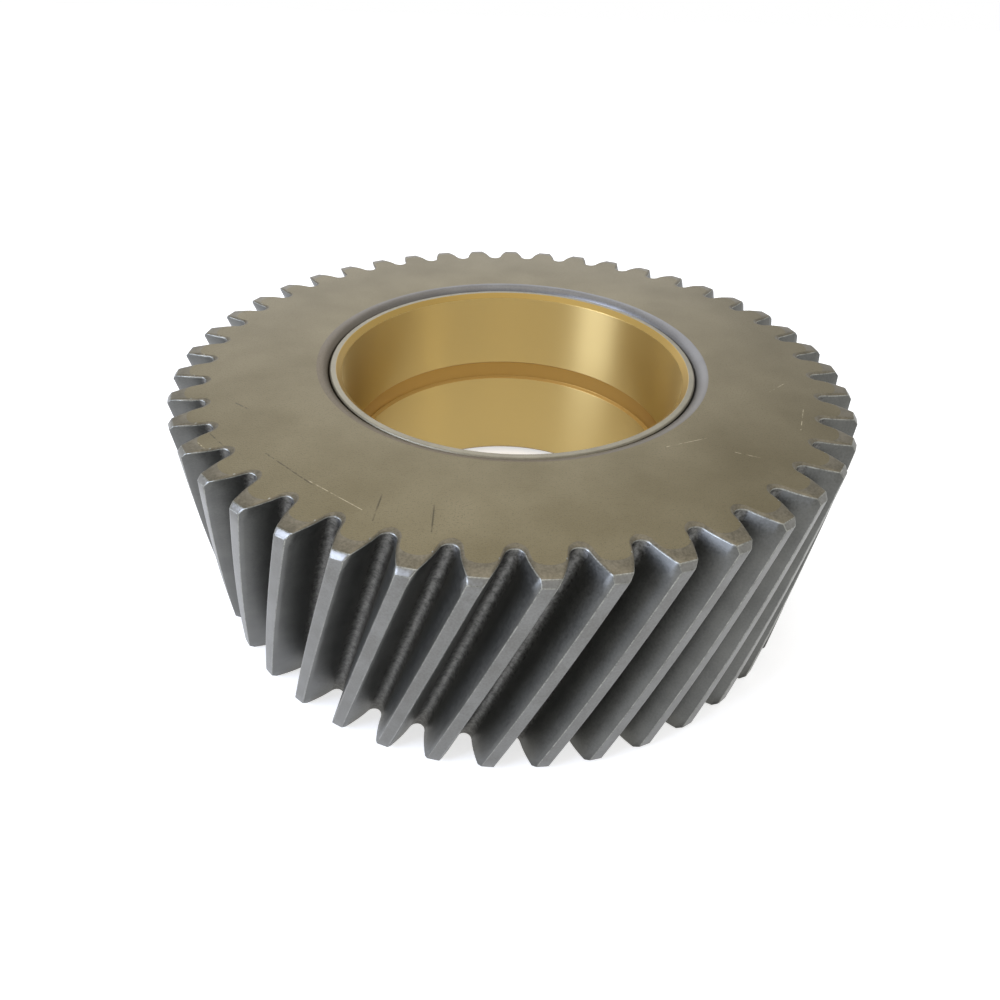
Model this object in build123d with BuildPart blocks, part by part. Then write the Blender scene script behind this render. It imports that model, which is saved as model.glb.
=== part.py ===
"""Helical idler gear with a plain bearing bush pressed into its bore.

Two pieces. The gear is steel: a turned blank, hobbed with a right-hand helix, its
flanks ground, its tooth ends bevelled and the tips chamfered. The bush is a
steel-backed bronze ring, pressed in until both ends stand a little below the faces.

Frame: millimetres, +Z up the bore axis, origin where that axis meets the lower face.
At z = 0 one tooth is centred on +X.
"""
import os
from math import acos, atan, cos, degrees, pi, radians, sin, sqrt, tan

from build123d import *

# ---- driving dimensions: gear ----
tooth_count = 43
normal_module = 3.0
normal_pressure_angle = 20.0
helix_angle = 20.0  # right hand
face_width = 51.0
addendum = 3.0
dedendum = 4.2  # deep, for the full round root
tooth_thinning = 0.1  # off the tooth at the pitch circle, for backlash
tip_chamfer = 0.9  # 45 degrees, on both ends of every tooth tip
bore_mouth_radius = 2.5  # rounding of both ends of the gear's bore

# ---- driving dimensions: bevel round each tooth end, on both faces ----
flank_bevel = 0.9
root_bevel = 1.5
tip_bevel = 2.6  # measured inward from the tip chamfer
bevel_depth = 0.45

# ---- driving dimensions: bush ----
bush_outer_diameter = 80.0
bush_wall = 2.5
bush_recess = 1.0  # how far each end of the bush stands below the gear's face
bush_bore_bevel = 1.1
bush_lead_chamfer = 0.3

# ---- tooth geometry in the transverse plane ----
helix = radians(helix_angle)
transverse_pressure = atan(tan(radians(normal_pressure_angle)) / cos(helix))
pitch_radius = tooth_count * normal_module / cos(helix) / 2
base_radius = pitch_radius * cos(transverse_pressure)
tip_radius = pitch_radius + addendum
root_radius = pitch_radius - dedendum
pitch_angle = 2 * pi / tooth_count
twist_per_mm = tan(helix) / pitch_radius


def involute(angle):
    """Involute function of a pressure angle in radians."""
    return tan(angle) - angle


def half_space(radius):
    """Half the angle that a tooth space spans between its flanks at a radius."""
    half_tooth_at_pitch = pitch_angle / 4 - tooth_thinning / (2 * pitch_radius)
    pressure = acos(min(1.0, base_radius / radius))
    half_tooth = half_tooth_at_pitch + involute(transverse_pressure) - involute(pressure)
    return pitch_angle / 2 - half_tooth


def polar(radius, angle):
    """Point of the transverse plane."""
    return (radius * cos(angle), radius * sin(angle))


# The root is one arc, tangent to both flanks. Its radius is found by iteration:
# a circle that touches both flanks has its centre on an involute offset by its radius.
root_round = normal_module / 2
for _ in range(8):
    root_round = base_radius * half_space(root_radius + root_round)
centre_tangent = sqrt((root_radius + root_round) ** 2 - base_radius**2)


def space_flanks(centre, widening, outer_radius):
    """Points of both flanks of the space at an angle, each moved out by a distance."""
    foot = sqrt(base_radius**2 + (centre_tangent - root_round - widening) ** 2)
    steps = 4
    radii = [foot + (outer_radius - foot) * step / steps for step in range(steps + 1)]
    spread = [half_space(radius) + widening / base_radius for radius in radii]
    return [
        [polar(radius, centre + side * half) for radius, half in zip(radii, spread)]
        for side in (-1, 1)
    ]


# ---- outline of the toothed blank ----
with BuildSketch() as tooth_outline:
    with BuildLine():
        for space in range(tooth_count):
            centre = (space + 0.5) * pitch_angle
            near_points, far_points = space_flanks(centre, 0, tip_radius)
            next_tooth = centre + pitch_angle / 2
            next_flank = centre + pitch_angle - half_space(tip_radius)
            Spline(near_points)
            ThreePointArc(near_points[0], polar(root_radius, centre), far_points[0])
            Spline(far_points)
            ThreePointArc(far_points[-1], polar(tip_radius, next_tooth), polar(tip_radius, next_flank))
    make_face()


def end_bevel(end_height, outward):
    """Cutter that bevels one tooth space where it opens on an end face."""
    sections = []
    for reach in (0.5, -1.5):
        height = end_height + outward * reach * bevel_depth
        centre = pitch_angle / 2 + height * twist_per_mm
        share = 1 + reach
        near_points, far_points = space_flanks(centre, share * flank_bevel, tip_radius + normal_module)
        root_point = polar(root_radius - share * root_bevel, centre)
        with BuildSketch(Plane.XY.offset(height)) as section:
            with BuildLine():
                Spline(near_points)
                ThreePointArc(near_points[0], root_point, far_points[0])
                Spline(far_points)
                Line(near_points[-1], far_points[-1])
            make_face()
        sections.append(section.sketch)
    return loft(sections, ruled=True)


# ---- helical gear ----
# One twisted extrusion gives all the teeth, then each end is worked in the same way.
with BuildPart() as helical_gear:
    total_twist = degrees(face_width * twist_per_mm)
    outline_face = tooth_outline.sketch.face()
    add(Solid.extrude_linear_with_rotation(outline_face, (0, 0, 0), (0, 0, face_width), total_twist))
    Hole(bush_outer_diameter / 2)

    for end_height, outward in ((0, -1), (face_width, 1)):
        cutter = end_bevel(end_height, outward)
        with PolarLocations(0, tooth_count):
            add(cutter, mode=Mode.SUBTRACT)

    chamfer_edge = tip_radius - tip_chamfer
    past_tip = tip_radius + tip_chamfer
    with BuildSketch(Plane.XZ):
        for end_height, outward in ((0, -1), (face_width, 1)):
            with BuildLine():
                Polyline(
                    (chamfer_edge - tip_bevel, end_height),
                    (chamfer_edge, end_height - outward * bevel_depth),
                    (past_tip, end_height - outward * (bevel_depth + 2 * tip_chamfer)),
                    (past_tip, end_height),
                    close=True,
                )
            make_face()
    revolve(axis=Axis.Z, mode=Mode.SUBTRACT)

    bore_edges = helical_gear.edges().filter_by(GeomType.CIRCLE).sort_by(SortBy.RADIUS)[:2]
    fillet(bore_edges, bore_mouth_radius)
helical_gear.part.label = "helical_gear"

# ---- bush ----
with BuildPart() as bush:
    with BuildSketch(Plane.XY.offset(bush_recess)):
        Circle(bush_outer_diameter / 2)
        Circle(bush_outer_diameter / 2 - bush_wall, mode=Mode.SUBTRACT)
    extrude(amount=face_width - 2 * bush_recess)
    end_edges = bush.edges().filter_by(GeomType.CIRCLE).sort_by(SortBy.RADIUS)
    inner_edges, outer_edges = end_edges[:2], end_edges[-2:]
    chamfer(inner_edges, bush_bore_bevel)
    chamfer(outer_edges, bush_lead_chamfer)
bush.part.label = "bush"

os.makedirs("parts", exist_ok=True)
export_step(helical_gear.part, "parts/helical_gear.step")
export_step(bush.part, "parts/bush.step")
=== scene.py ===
"""Looks of a helical gear and of the bush in its bore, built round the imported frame.

Metres, +Z up the bore axis, the lower end face at z = 0.
"""
from math import acos, atan, cos, hypot, pi, radians, sin, sqrt, tan

import bmesh
import bpy
from mathutils import Matrix, Vector


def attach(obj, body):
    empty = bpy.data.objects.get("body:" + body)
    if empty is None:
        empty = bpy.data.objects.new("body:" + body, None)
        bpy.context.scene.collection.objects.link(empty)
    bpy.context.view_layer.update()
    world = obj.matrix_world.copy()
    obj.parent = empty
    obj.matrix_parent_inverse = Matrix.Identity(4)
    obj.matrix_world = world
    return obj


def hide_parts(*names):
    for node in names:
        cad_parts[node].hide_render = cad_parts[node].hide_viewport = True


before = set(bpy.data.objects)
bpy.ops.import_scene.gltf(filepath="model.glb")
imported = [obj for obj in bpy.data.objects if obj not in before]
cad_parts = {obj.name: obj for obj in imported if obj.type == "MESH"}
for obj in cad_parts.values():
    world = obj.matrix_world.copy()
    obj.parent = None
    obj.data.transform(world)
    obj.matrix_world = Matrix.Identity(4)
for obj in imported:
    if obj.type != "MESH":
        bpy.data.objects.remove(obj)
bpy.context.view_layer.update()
MM = 0.001

# ---- Helical gear: form ----
# A turned steel blank, hobbed with a right-hand helix and ground on the flanks. The roots
# stay as hobbed. A deburring tool has bevelled the tooth ends, which leaves a soft-edged
# flat on every tooth, and the tips are chamfered.
tooth_count = 43
normal_module = 3.0 * MM
helix = radians(20)
face_width = 51.0 * MM
addendum = 3.0 * MM
dedendum = 4.2 * MM
tooth_thinning = 0.1 * MM
tip_chamfer = 0.9 * MM
root_bevel = 1.1 * MM
foot_bevel = 0.45 * MM
flank_bevel = 0.9 * MM
tip_bevel = 2.6 * MM
bevel_depth = 0.35 * MM
soft_edge = 0.15 * MM
bore_radius = 40.0 * MM
mouth_radius = 2.5 * MM
edge_break = 0.12 * MM
sharp_angle = radians(33)

transverse_pressure = atan(tan(radians(20)) / cos(helix))
pitch_radius = tooth_count * normal_module / cos(helix) / 2
base_radius = pitch_radius * cos(transverse_pressure)
tip_radius = pitch_radius + addendum
root_radius = pitch_radius - dedendum
chamfer_radius = tip_radius - tip_chamfer
half_pitch = pi / tooth_count


def half_tooth(radius):
    """Half the angle that a tooth spans between its flanks at a radius."""
    pressure = acos(min(1.0, base_radius / radius))
    at_pitch = half_pitch / 2 - tooth_thinning / (2 * pitch_radius)
    return at_pitch + (tan(transverse_pressure) - transverse_pressure) - (tan(pressure) - pressure)


def polar(radius, angle):
    """Point of the section, with +X through the middle of the tooth."""
    return Vector((radius * cos(angle), radius * sin(angle)))


# Half of a tooth's section: from the middle of its land, down the flank, to mid root.
root_round = normal_module / 2
for _ in range(8):
    root_round = base_radius * (half_pitch - half_tooth(root_radius + root_round))
centre_tangent = sqrt((root_radius + root_round) ** 2 - base_radius**2)
foot_radius = hypot(base_radius, centre_tangent - root_round)
land_steps, flank_steps, root_steps = 3, 8, 6
land = [polar(tip_radius, half_tooth(tip_radius) * i / land_steps) for i in range(land_steps)]
flank_drop = (chamfer_radius - foot_radius) / flank_steps
flank_radii = [tip_radius] + [chamfer_radius - flank_drop * i for i in range(flank_steps + 1)]
flank = [polar(radius, half_tooth(radius)) for radius in flank_radii]
arc_centre = polar(root_radius + root_round, half_pitch)
arc_start = flank[-1] - arc_centre
arc_end = polar(root_radius, half_pitch) - arc_centre
arc_sweep = arc_end.angle_signed(arc_start)
root = [
    arc_centre + Matrix.Rotation(arc_sweep * i / root_steps, 2) @ arc_start
    for i in range(1, root_steps + 1)
]
outline = land + flank + root
outline_zone = ["land"] * land_steps + ["flank"] * (len(flank) - 1) + ["root"] * root_steps
last = len(outline) - 1


def flat_edge(index, inset):
    """Where the end face's flat stops, level with a point of the outline and moved in."""
    point = outline[index]
    flat_end = chamfer_radius - tip_bevel
    round_start = flat_end - 1.5 * MM
    rise = (min(point.length, round_start) - foot_radius) / (tip_radius - foot_radius)
    flank_width = foot_bevel + (flank_bevel - foot_bevel) * max(0.0, rise)
    if point.length < round_start:
        if index == last:
            inward = polar(-1, half_pitch)
        else:
            along = (outline[index + 1] - outline[index - 1]).normalized()
            inward = Vector((-along.y, along.x))
        share = max(0.0, (index - last + root_steps) / root_steps)
        return point + inward * (flank_width + (root_bevel - foot_bevel) * share + inset)
    # Towards the tip the flat closes in a soft U.
    if index < land_steps:
        turn = pi / 2 - radians(35) * index / land_steps
    else:
        turn = radians(55) * (point.length - round_start) / (tip_radius - round_start)
    side = round_start * sin(half_tooth(round_start)) - flank_width - inset
    return Vector((round_start + (flat_end - inset - round_start) * sin(turn), side * cos(turn)))


# One tooth as rings of points from the lower face up to the upper one, not yet twisted.
body_steps = 18
half_rings = []
for soft, depth, share in ((soft_edge, 0, 0), (0, 0, 0), (0, 0.35, 0.5), (0, 1, 1)):
    half_ring = []
    for index, point in enumerate(outline):
        edge = point
        if index <= land_steps:
            spread = half_tooth(chamfer_radius) / half_tooth(tip_radius)
            edge = polar(chamfer_radius, point.angle_signed(Vector((1, 0))) * spread)
        flat = flat_edge(index, soft)
        place = flat.lerp(edge, share)
        half_ring.append((place.x, place.y, bevel_depth * depth))
    half_rings.append(half_ring)
chamfer_foot = [(p.x, p.y, bevel_depth + max(0.0, p.length - chamfer_radius)) for p in outline]
for step in range(body_steps // 2 + 1):
    rise = step / body_steps
    half_rings.append([(x, y, z + (face_width - 2 * z) * rise) for x, y, z in chamfer_foot])
lower_rings = [
    [(x, -y, z) for x, y, z in reversed(half_ring[1:])] + half_ring for half_ring in half_rings
]
upper_rings = [[(x, y, face_width - z) for x, y, z in ring] for ring in reversed(lower_rings[:-1])]
rings = lower_rings + upper_rings
strip_zones = ["face", "bevel", "bevel", "chamfer"]
strip_zones += ["body"] * body_steps + strip_zones[::-1]

zones = ["face", "mouth", "bevel", "chamfer", "land", "flank", "root", "edge"]
tooth_mesh = bmesh.new()
zone_layer = tooth_mesh.faces.layers.int.new("zone")
corners = {}


def corner(place):
    """The tooth's vertex at a place, made once."""
    key = tuple(round(value / MM, 3) for value in place)
    if key not in corners:
        corners[key] = tooth_mesh.verts.new(place)
    return corners[key]


def add_face(places, zone):
    """A face between places, less those that fall together."""
    points = list(dict.fromkeys(corner(place) for place in places))
    if len(points) > 2 and tooth_mesh.faces.get(points) is None:
        tooth_mesh.faces.new(points)[zone_layer] = zones.index(zone)


column_zones = outline_zone[::-1] + outline_zone
for strip, zone in enumerate(strip_zones):
    for column, column_zone in enumerate(column_zones):
        quad = [
            rings[strip][column],
            rings[strip][column + 1],
            rings[strip + 1][column + 1],
            rings[strip + 1][column],
        ]
        add_face(quad, column_zone if zone == "body" else zone)

# The end faces and the bore, with its rounded mouths, in wider steps.
web_radius = 58.0 * MM
bore_steps, mouth_steps = 6, 8
bore_profile = [(web_radius, 0)]
for step in range(mouth_steps + 1):
    turn = pi / 2 * step / mouth_steps
    bore_profile.append(
        (bore_radius + mouth_radius * (1 - sin(turn)), mouth_radius * (1 - cos(turn)))
    )
bore_profile += [(radius, face_width - height) for radius, height in reversed(bore_profile)]
bore_angles = [half_pitch * (2 * step / bore_steps - 1) for step in range(bore_steps + 1)]
bore_rings = [
    [(radius * cos(angle), radius * sin(angle), height) for angle in bore_angles]
    for radius, height in bore_profile
]
for strip in range(len(bore_rings) - 1):
    zone = "face" if strip in (0, len(bore_rings) - 2) else "mouth"
    for step in range(bore_steps):
        quad = [
            bore_rings[strip][step],
            bore_rings[strip + 1][step],
            bore_rings[strip + 1][step + 1],
            bore_rings[strip][step + 1],
        ]
        add_face(quad, zone)
add_face(bore_rings[0] + rings[0][::-1], "face")
add_face(rings[-1] + bore_rings[-1][::-1], "face")
tooth_data = bpy.data.meshes.new("helical_gear")
tooth_mesh.to_mesh(tooth_data)
tooth_mesh.free()

# ---- Helical gear: finish ----
# Case-hardened steel under a thin film of oil. The turned end faces are satin and slightly
# tan, the ground flanks darker and closer, the hobbed roots coarse, and the lands and
# chamfers bright where the cutter left them.


def linear(hex_colour):
    """An sRGB hex colour as linear red, green, blue and alpha."""
    parts = [int(hex_colour[i:i + 2], 16) / 255 for i in (1, 3, 5)]
    return [c / 12.92 if c <= 0.04045 else ((c + 0.055) / 1.055) ** 2.4 for c in parts] + [1.0]


def add_node(tree, kind, links=(), **settings):
    """Adds a node with its properties, and its inputs as values or as sockets to link."""
    node = tree.nodes.new(kind)
    for name, value in settings.items():
        setattr(node, name, value)
    for name, value in dict(links).items():
        if isinstance(value, bpy.types.NodeSocket):
            tree.links.new(value, node.inputs[name])
        else:
            node.inputs[name].default_value = value
    return node


def steel(name, light, dark, roughness, patch, grain, bump):
    """Steel of two close tones in patches, with a fine grain. Sizes are in metres."""
    material = bpy.data.materials.new(name)
    material.use_nodes = True
    tree = material.node_tree
    shader = tree.nodes["Principled BSDF"]
    shader.inputs["Metallic"].default_value = 1.0
    where = add_node(tree, "ShaderNodeTexCoord").outputs["Object"]
    patches = add_node(
        tree, "ShaderNodeTexNoise", {"Vector": where, "Scale": 1 / patch, "Detail": 4.0}
    )
    grains = add_node(
        tree, "ShaderNodeTexNoise", {"Vector": where, "Scale": 1 / grain, "Detail": 2.0}
    )
    share = add_node(
        tree, "ShaderNodeMath",
        {0: patches.outputs["Fac"], 1: grains.outputs["Fac"]}, operation="ADD",
    )
    spread = add_node(
        tree, "ShaderNodeMapRange",
        {"Value": share.outputs[0], "From Min": 0.75, "From Max": 1.25},
    )
    colour = add_node(
        tree, "ShaderNodeMix",
        {0: spread.outputs[0], 6: linear(dark), 7: linear(light)}, data_type="RGBA",
    )
    tree.links.new(colour.outputs[2], shader.inputs["Base Color"])
    rough = add_node(
        tree, "ShaderNodeMapRange",
        {"Value": grains.outputs["Fac"], "From Min": 0.3, "From Max": 0.7,
         "To Min": roughness - 0.06, "To Max": roughness + 0.06},
    )
    tree.links.new(rough.outputs[0], shader.inputs["Roughness"])
    relief = add_node(
        tree, "ShaderNodeBump",
        {"Height": grains.outputs["Fac"], "Strength": 1.0, "Distance": bump},
    )
    tree.links.new(relief.outputs[0], shader.inputs["Normal"])
    return material


zone_materials = {}
for zone, light, dark, roughness, patch, grain, bump in (
    ("face", "#726a54", "#615943", 0.45, 14 * MM, 0.3 * MM, 0.03 * MM),
    ("mouth", "#757575", "#676666", 0.42, 9 * MM, 0.4 * MM, 0.004 * MM),
    ("bevel", "#726c5e", "#5b564a", 0.42, 3 * MM, 0.4 * MM, 0.02 * MM),
    ("chamfer", "#82817d", "#72716c", 0.38, 2 * MM, 0.4 * MM, 0.006 * MM),
    ("land", "#7b7b78", "#6b6a66", 0.36, 6 * MM, 0.4 * MM, 0.005 * MM),
    ("flank", "#6b6b67", "#5d5d5a", 0.45, 6 * MM, 0.4 * MM, 0.008 * MM),
    ("root", "#7a7975", "#4e4d4a", 0.52, 0.9 * MM, 0.4 * MM, 0.06 * MM),
    ("edge", "#96968f", "#696964", 0.36, 1.5 * MM, 0.3 * MM, 0.004 * MM),
):
    zone_materials[zone] = steel(f"{zone}_steel", light, dark, roughness, patch, grain, bump)


def lay_over(material, share, colour):
    """Mixes a colour over the one that a material has, by a share from 0 to 1."""
    tree = material.node_tree
    base = tree.nodes["Principled BSDF"].inputs["Base Color"]
    mixed = add_node(
        tree, "ShaderNodeMix",
        {0: share, 6: base.links[0].from_socket, 7: linear(colour)}, data_type="RGBA",
    )
    tree.links.new(mixed.outputs[2], base)


def stroke(tree, where, start, end, width):
    """1 along a straight stroke on the upper face, 0 off it. Places are in millimetres."""
    first = Vector((*start, face_width / MM)) * MM
    run = Vector((*end, face_width / MM)) * MM - first
    offset = add_node(tree, "ShaderNodeVectorMath", {0: where, 1: first}, operation="SUBTRACT")
    along = add_node(
        tree, "ShaderNodeVectorMath",
        {0: offset.outputs[0], 1: run / run.length_squared}, operation="DOT_PRODUCT",
    )
    share = add_node(tree, "ShaderNodeClamp", {0: along.outputs["Value"]})
    nearest = add_node(
        tree, "ShaderNodeVectorMath", {0: run, "Scale": share.outputs[0]}, operation="SCALE"
    )
    away = add_node(
        tree, "ShaderNodeVectorMath",
        {0: offset.outputs[0], 1: nearest.outputs[0]}, operation="DISTANCE",
    )
    edge = add_node(
        tree, "ShaderNodeMapRange",
        {0: away.outputs["Value"], 1: width * MM * 0.2, 2: width * MM * 0.6, 3: 1.0, 4: 0.0},
    )
    return edge.outputs[0]


def mark_face(strokes, colour, gap, strength):
    """Lays strokes over the end face's colour, broken up by a noise of the gap's size."""
    tree = zone_materials["face"].node_tree
    where = add_node(tree, "ShaderNodeTexCoord").outputs["Object"]
    total = None
    for start, end, width in strokes:
        one = stroke(tree, where, start, end, width)
        if total:
            both = add_node(tree, "ShaderNodeMath", {0: total, 1: one}, operation="MAXIMUM")
            one = both.outputs[0]
        total = one
    breaks = add_node(tree, "ShaderNodeTexNoise", {"Vector": where, "Scale": 1 / gap})
    shown = add_node(
        tree, "ShaderNodeMapRange",
        {0: breaks.outputs["Fac"], 1: 0.42, 2: 0.55, 4: strength},
    )
    share = add_node(
        tree, "ShaderNodeMath", {0: total, 1: shown.outputs[0]}, operation="MULTIPLY"
    )
    lay_over(zone_materials["face"], share.outputs[0], colour)


# The bore's mouth is browner along one side, by a blend that lies fixed on the piece. This is
# painted shade for the darker room that the mouth reflects on that side, not oil or a stain.
mouth_tree = zone_materials["mouth"].node_tree
mouth_place = add_node(mouth_tree, "ShaderNodeTexCoord").outputs["Object"]
side = add_node(
    mouth_tree, "ShaderNodeVectorMath", {0: mouth_place, 1: (0.6, 0.8, 0)},
    operation="DOT_PRODUCT",
)
mouth_painted_shade = add_node(
    mouth_tree, "ShaderNodeMapRange", {0: side.outputs["Value"], 1: 30 * MM, 2: -32 * MM}
)
lay_over(zone_materials["mouth"], mouth_painted_shade.outputs[0], "#5a5142")

# Fine scratches on the upper face, dark and worn or bright and fresh, and two plain scribed
# ticks by the teeth. Each is a start, an end and a width in millimetres.
mark_face(
    [((-43, -42), (-31, -52), 0.3), ((-54, -37), (-50, -41), 0.25), ((-53, -26), (-50, -28), 0.3)],
    "#3a362d", 0.9 * MM, 0.7,
)
mark_face(
    [((-20.5, -52.8), (-20.9, -59.5), 0.3), ((-11.9, -55.2), (-11.7, -61.6), 0.3)],
    "#3a362d", 4 * MM, 0.75,
)
mark_face(
    [
        ((-33, -50), (-23, -57), 0.15), ((-57, -38), (-53, -42), 0.2),
        ((28, -36), (36, -32.6), 0.15), ((40, -37), (44, -38.5), 0.2),
        ((54.5, -28.6), (58.5, -18.5), 0.2), ((53, -14), (58, -9.4), 0.2),
    ],
    "#b8ae94", 1.5 * MM, 0.6,
)

# Fine dark specks all over the end faces.
face_tree = zone_materials["face"].node_tree
face_place = add_node(face_tree, "ShaderNodeTexCoord").outputs["Object"]
specks = add_node(
    face_tree, "ShaderNodeTexNoise",
    {"Vector": face_place, "Scale": 1 / (0.3 * MM), "Detail": 1.0},
)
dark_specks = add_node(
    face_tree, "ShaderNodeMapRange", {0: specks.outputs["Fac"], 1: 0.52, 2: 0.70, 4: 0.34}
)
lay_over(zone_materials["face"], dark_specks.outputs[0], "#3d382e")

# Geometry Nodes twist the tooth into its helix and repeat it round the bore axis.
weld_distance = 0.002 * MM
gear_tree = bpy.data.node_groups.new("helical_teeth", "GeometryNodeTree")
gear_tree.interface.new_socket("Tooth", in_out="INPUT", socket_type="NodeSocketGeometry")
teeth_socket = gear_tree.interface.new_socket("Teeth", in_out="INPUT", socket_type="NodeSocketInt")
twist_socket = gear_tree.interface.new_socket(
    "Twist per metre", in_out="INPUT", socket_type="NodeSocketFloat"
)
gear_tree.interface.new_socket("Gear", in_out="OUTPUT", socket_type="NodeSocketGeometry")
given = add_node(gear_tree, "NodeGroupInput")
position = add_node(gear_tree, "GeometryNodeInputPosition")
height = add_node(gear_tree, "ShaderNodeSeparateXYZ", {0: position.outputs[0]}).outputs["Z"]
lean = add_node(
    gear_tree, "ShaderNodeMath",
    {0: height, 1: given.outputs["Twist per metre"]}, operation="MULTIPLY",
)
twisted = add_node(
    gear_tree, "ShaderNodeVectorRotate",
    {"Vector": position.outputs[0], "Angle": lean.outputs[0]}, rotation_type="Z_AXIS",
)
tooth = add_node(
    gear_tree, "GeometryNodeSetPosition",
    {"Geometry": given.outputs["Tooth"], "Position": twisted.outputs[0]},
)
places = add_node(gear_tree, "GeometryNodePoints", {"Count": given.outputs["Teeth"]})
number = add_node(gear_tree, "GeometryNodeInputIndex")
pitch = add_node(
    gear_tree, "ShaderNodeMath", {0: 2 * pi, 1: given.outputs["Teeth"]}, operation="DIVIDE"
)
angle = add_node(
    gear_tree, "ShaderNodeMath", {0: number.outputs[0], 1: pitch.outputs[0]}, operation="MULTIPLY"
)
turned = add_node(gear_tree, "ShaderNodeCombineXYZ", {"Z": angle.outputs[0]})
ring = add_node(
    gear_tree, "GeometryNodeInstanceOnPoints",
    {"Points": places.outputs[0], "Instance": tooth.outputs[0], "Rotation": turned.outputs[0]},
)
solid = add_node(gear_tree, "GeometryNodeRealizeInstances", {0: ring.outputs[0]})
joined = add_node(
    gear_tree, "GeometryNodeMergeByDistance",
    {"Geometry": solid.outputs[0], "Distance": weld_distance},
)
zone_number = add_node(
    gear_tree, "GeometryNodeInputNamedAttribute", {"Name": "zone"}, data_type="INT"
)
dressed = joined
for index, zone in enumerate(zones[:-1]):
    chosen = add_node(
        gear_tree, "FunctionNodeCompare",
        {2: zone_number.outputs["Attribute"], 3: index}, data_type="INT", operation="EQUAL",
    )
    dressed = add_node(
        gear_tree, "GeometryNodeSetMaterial",
        {"Geometry": dressed.outputs[0], "Selection": chosen.outputs[0],
         "Material": zone_materials[zone]},
    )
add_node(gear_tree, "NodeGroupOutput", {0: dressed.outputs[0]})


def break_edges(thing, material=-1):
    """Rounds a piece's sharp edges, as handling and deburring do."""
    bevel = thing.modifiers.new("edge_break", "BEVEL")
    bevel.width = edge_break
    bevel.segments = 2
    bevel.limit_method = "ANGLE"
    bevel.angle_limit = sharp_angle
    bevel.harden_normals = True
    bevel.material = material


for zone in zones:
    tooth_data.materials.append(zone_materials[zone])
tooth_object = bpy.data.objects.new("helical_gear_tooth", tooth_data)
bpy.context.scene.collection.objects.link(tooth_object)
array = tooth_object.modifiers.new("helical_teeth", "NODES")
array.node_group = gear_tree
array[teeth_socket.identifier] = tooth_count
array[twist_socket.identifier] = tan(helix) / pitch_radius
break_edges(tooth_object, zones.index("edge"))
bpy.context.view_layer.update()
evaluated = tooth_object.evaluated_get(bpy.context.evaluated_depsgraph_get())
gear = bpy.data.objects.new("ground_gear", bpy.data.meshes.new_from_object(evaluated))
bpy.data.objects.remove(tooth_object)
bpy.context.scene.collection.objects.link(gear)
gear.data.shade_smooth()
gear.data.set_sharp_from_angle(angle=sharp_angle)
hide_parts("helical_gear")
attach(gear, "root")

# ---- Bush ----
# A steel-backed bronze ring with a shallow oil groove, finely bored after it was pressed
# in. Its ends show the steel back as a pale ring, and the bore is bright gold.
bush_outer = 40.0 * MM
bush_wall = 2.5 * MM
bush_upper_recess = 1.0 * MM
bush_lower_recess = 1.0 * MM
bush_bevel = 1.1 * MM
bush_lead = 0.3 * MM
oil_groove_height = 28.0 * MM
oil_groove_width = 5.2 * MM
oil_groove_depth = 0.8 * MM
oil_groove_shoulder = 0.5 * MM
bush_steps = 240

lower, upper = bush_lower_recess, face_width - bush_upper_recess
bush_inner = bush_outer - bush_wall
groove_bottom = bush_inner + oil_groove_depth
groove_lower = oil_groove_height - oil_groove_width / 2
groove_upper = oil_groove_height + oil_groove_width / 2
bush_profile = [
    (bush_outer, lower + bush_lead, "back"),
    (bush_outer, upper - bush_lead, "back"),
    (bush_outer - bush_lead, upper, "back"),
    (bush_inner + bush_bevel, upper, "bevel"),
    (bush_inner, upper - bush_bevel, "lining"),
    (bush_inner, groove_upper, "groove"),
    (groove_bottom, groove_upper - oil_groove_shoulder, "groove"),
    (groove_bottom, groove_lower + oil_groove_shoulder, "groove"),
    (bush_inner, groove_lower, "lining"),
    (bush_inner, lower + bush_bevel, "bevel"),
    (bush_inner + bush_bevel, lower, "back"),
    (bush_outer - bush_lead, lower, "back"),
]
layers = ["back", "bevel", "lining", "groove"]
bush_mesh = bmesh.new()
bush_rings = []
for step in range(bush_steps):
    around = 2 * pi * step / bush_steps
    bush_rings.append([
        bush_mesh.verts.new((radius * cos(around), radius * sin(around), height))
        for radius, height, _ in bush_profile
    ])
for step, ring_now in enumerate(bush_rings):
    ring_next = bush_rings[(step + 1) % bush_steps]
    for index, (_, _, layer) in enumerate(bush_profile):
        after = (index + 1) % len(bush_profile)
        strip = bush_mesh.faces.new(
            (ring_now[index], ring_next[index], ring_next[after], ring_now[after])
        )
        strip.material_index = layers.index(layer)
bmesh.ops.recalc_face_normals(bush_mesh, faces=bush_mesh.faces)
bush_data = bpy.data.meshes.new("lined_bush")
bush_mesh.to_mesh(bush_data)
bush_mesh.free()


def bronze(name, colour, roughness, streak):
    """Bronze as a turning tool leaves it, its shine drawn out across the tool's marks."""
    material = bpy.data.materials.new(name)
    material.use_nodes = True
    tree = material.node_tree
    shader = tree.nodes["Principled BSDF"]
    shader.inputs["Metallic"].default_value = 1.0
    shader.inputs["Base Color"].default_value = linear(colour)
    shader.inputs["Roughness"].default_value = roughness
    shader.inputs["Anisotropic"].default_value = streak
    shader.inputs["Anisotropic Rotation"].default_value = 0.25
    around = add_node(tree, "ShaderNodeTangent", direction_type="RADIAL", axis="Z")
    tree.links.new(around.outputs[0], shader.inputs["Tangent"])
    return material


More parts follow.
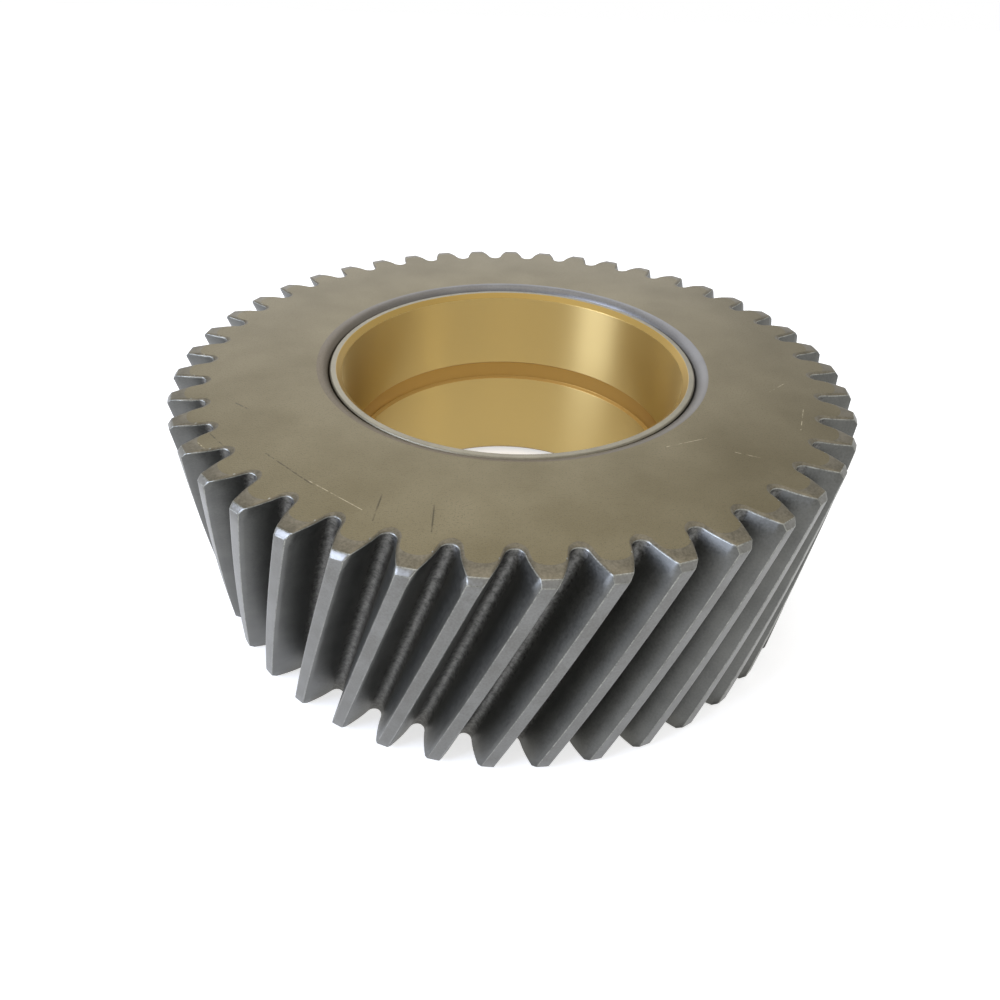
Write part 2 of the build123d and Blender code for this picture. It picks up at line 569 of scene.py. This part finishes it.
bush_data.materials.append(
    steel("bush_steel_back", "#858070", "#767163", 0.45, 4 * MM, 0.3 * MM, 0.004 * MM)
)
bush_data.materials.append(bronze("bevelled_bronze", "#9e844b", 0.4, 0.0))
bush_data.materials.append(bronze("bored_bronze_lining", "#c8b278", 0.40, 0.93))
# The groove's bronze is darker than the lining's: painted shade for the recess. Its rougher, less
# streaked finish is its own.
bush_data.materials.append(bronze("turned_groove_bronze_painted_shade", "#b08f52", 0.45, 0.3))
bush = bpy.data.objects.new("lined_bush", bush_data)
bpy.context.scene.collection.objects.link(bush)
break_edges(bush)
bush_data.shade_smooth()
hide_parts("bush")
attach(bush, "root")

# ---- Floor, light and camera ----
# A white floor that keeps the gear's soft shadow, and a studio's broad lamps.
floor_reach = 3.0
floor_glow = 0.62
world_light = 0.55
floor_data = bpy.data.meshes.new("floor")
floor_corners = [
    (x * floor_reach, y * floor_reach, 0) for x, y in ((-1, -1), (1, -1), (1, 1), (-1, 1))
]
floor_data.from_pydata(floor_corners, [], [(0, 1, 2, 3)])


def background_rays(tree):
    """1 for rays from the camera and those mirrored or passed on, 0 for those that light."""
    rays = add_node(tree, "ShaderNodeLightPath").outputs
    direct = add_node(
        tree, "ShaderNodeMath",
        {0: rays["Is Camera Ray"], 1: rays["Is Glossy Ray"]}, operation="MAXIMUM",
    )
    seen = add_node(
        tree, "ShaderNodeMath",
        {0: direct.outputs[0], 1: rays["Is Transmission Ray"]}, operation="MAXIMUM",
    )
    return seen.outputs[0]


floor_material = bpy.data.materials.new("white_studio_floor")
floor_material.use_nodes = True
floor_tree = floor_material.node_tree
shader = floor_tree.nodes["Principled BSDF"]
shader.inputs["Base Color"].default_value = linear("#e6e6e6")
shader.inputs["Roughness"].default_value = 0.9
shader.inputs["Specular IOR Level"].default_value = 0.1
glow = add_node(
    floor_tree, "ShaderNodeMath",
    {0: background_rays(floor_tree), 1: floor_glow}, operation="MULTIPLY",
)
shader.inputs["Emission Color"].default_value = (1, 1, 1, 1)
floor_tree.links.new(glow.outputs[0], shader.inputs["Emission Strength"])
floor_data.materials.append(floor_material)
floor = bpy.data.objects.new("floor", floor_data)
bpy.context.scene.collection.objects.link(floor)

world = bpy.data.worlds.new("studio")
bpy.context.scene.world = world
world.use_nodes = True
world_tree = world.node_tree
background = world_tree.nodes["Background"]
background.inputs["Color"].default_value = (1, 1, 1, 1)
strength = add_node(
    world_tree, "ShaderNodeMapRange",
    {"Value": background_rays(world_tree), "To Min": world_light, "To Max": 1.0},
)
world_tree.links.new(strength.outputs[0], background.inputs["Strength"])


def area_lamp(name, place, aim, width, height, watts, colour):
    """A soft box at a place, turned towards a point."""
    data = bpy.data.lights.new(name, "AREA")
    data.shape = "RECTANGLE"
    data.size, data.size_y = width, height
    data.energy = watts
    data.color = linear(colour)[:3]
    lamp = bpy.data.objects.new(name, data)
    lamp.location = place
    lamp.rotation_euler = (Vector(aim) - Vector(place)).to_track_quat("-Z", "Y").to_euler()
    bpy.context.scene.collection.objects.link(lamp)


area_lamp("window_left", (-0.78, -0.35, 0.5), (0, 0, 0.03), 0.46, 0.6, 8.0, "#d2dfff")
area_lamp("window_back", (-0.12, 0.86, 0.6), (0, 0, 0.03), 0.9, 0.5, 2.4, "#f2f5ff")
area_lamp("overhead", (0.0, 0.1, 0.9), (0, 0, 0.03), 0.7, 0.7, 1.5, "#fff8ee")

# The camera stands in front of the gear and looks down on it at about 41 degrees.
camera_reach = 133.8 * MM
camera_height = 113.8 * MM
camera_azimuth = radians(-90.746)
look_azimuth = radians(90.464)
look_down = radians(41.11)
roll = radians(1.78)
level = Vector((cos(look_azimuth), sin(look_azimuth), 0))
forward = level * cos(look_down) - Vector((0, 0, sin(look_down)))
right = forward.cross(Vector((0, 0, 1))).normalized()
up = right.cross(forward)
right, up = cos(roll) * right + sin(roll) * up, cos(roll) * up - sin(roll) * right
camera_data = bpy.data.cameras.new("camera")
camera_data.sensor_width = 36.0
camera_data.lens = 23.0
camera_data.shift_x = 0.006
camera_data.shift_y = 0.035
camera_data.clip_start = 0.01
camera = bpy.data.objects.new("camera", camera_data)
camera.matrix_world = Matrix((
    (right.x, up.x, -forward.x, camera_reach * cos(camera_azimuth)),
    (right.y, up.y, -forward.y, camera_reach * sin(camera_azimuth)),
    (right.z, up.z, -forward.z, camera_height),
    (0, 0, 0, 1),
))
bpy.context.scene.collection.objects.link(camera)
bpy.context.scene.camera = camera
bpy.context.scene.view_settings.view_transform = "Standard"
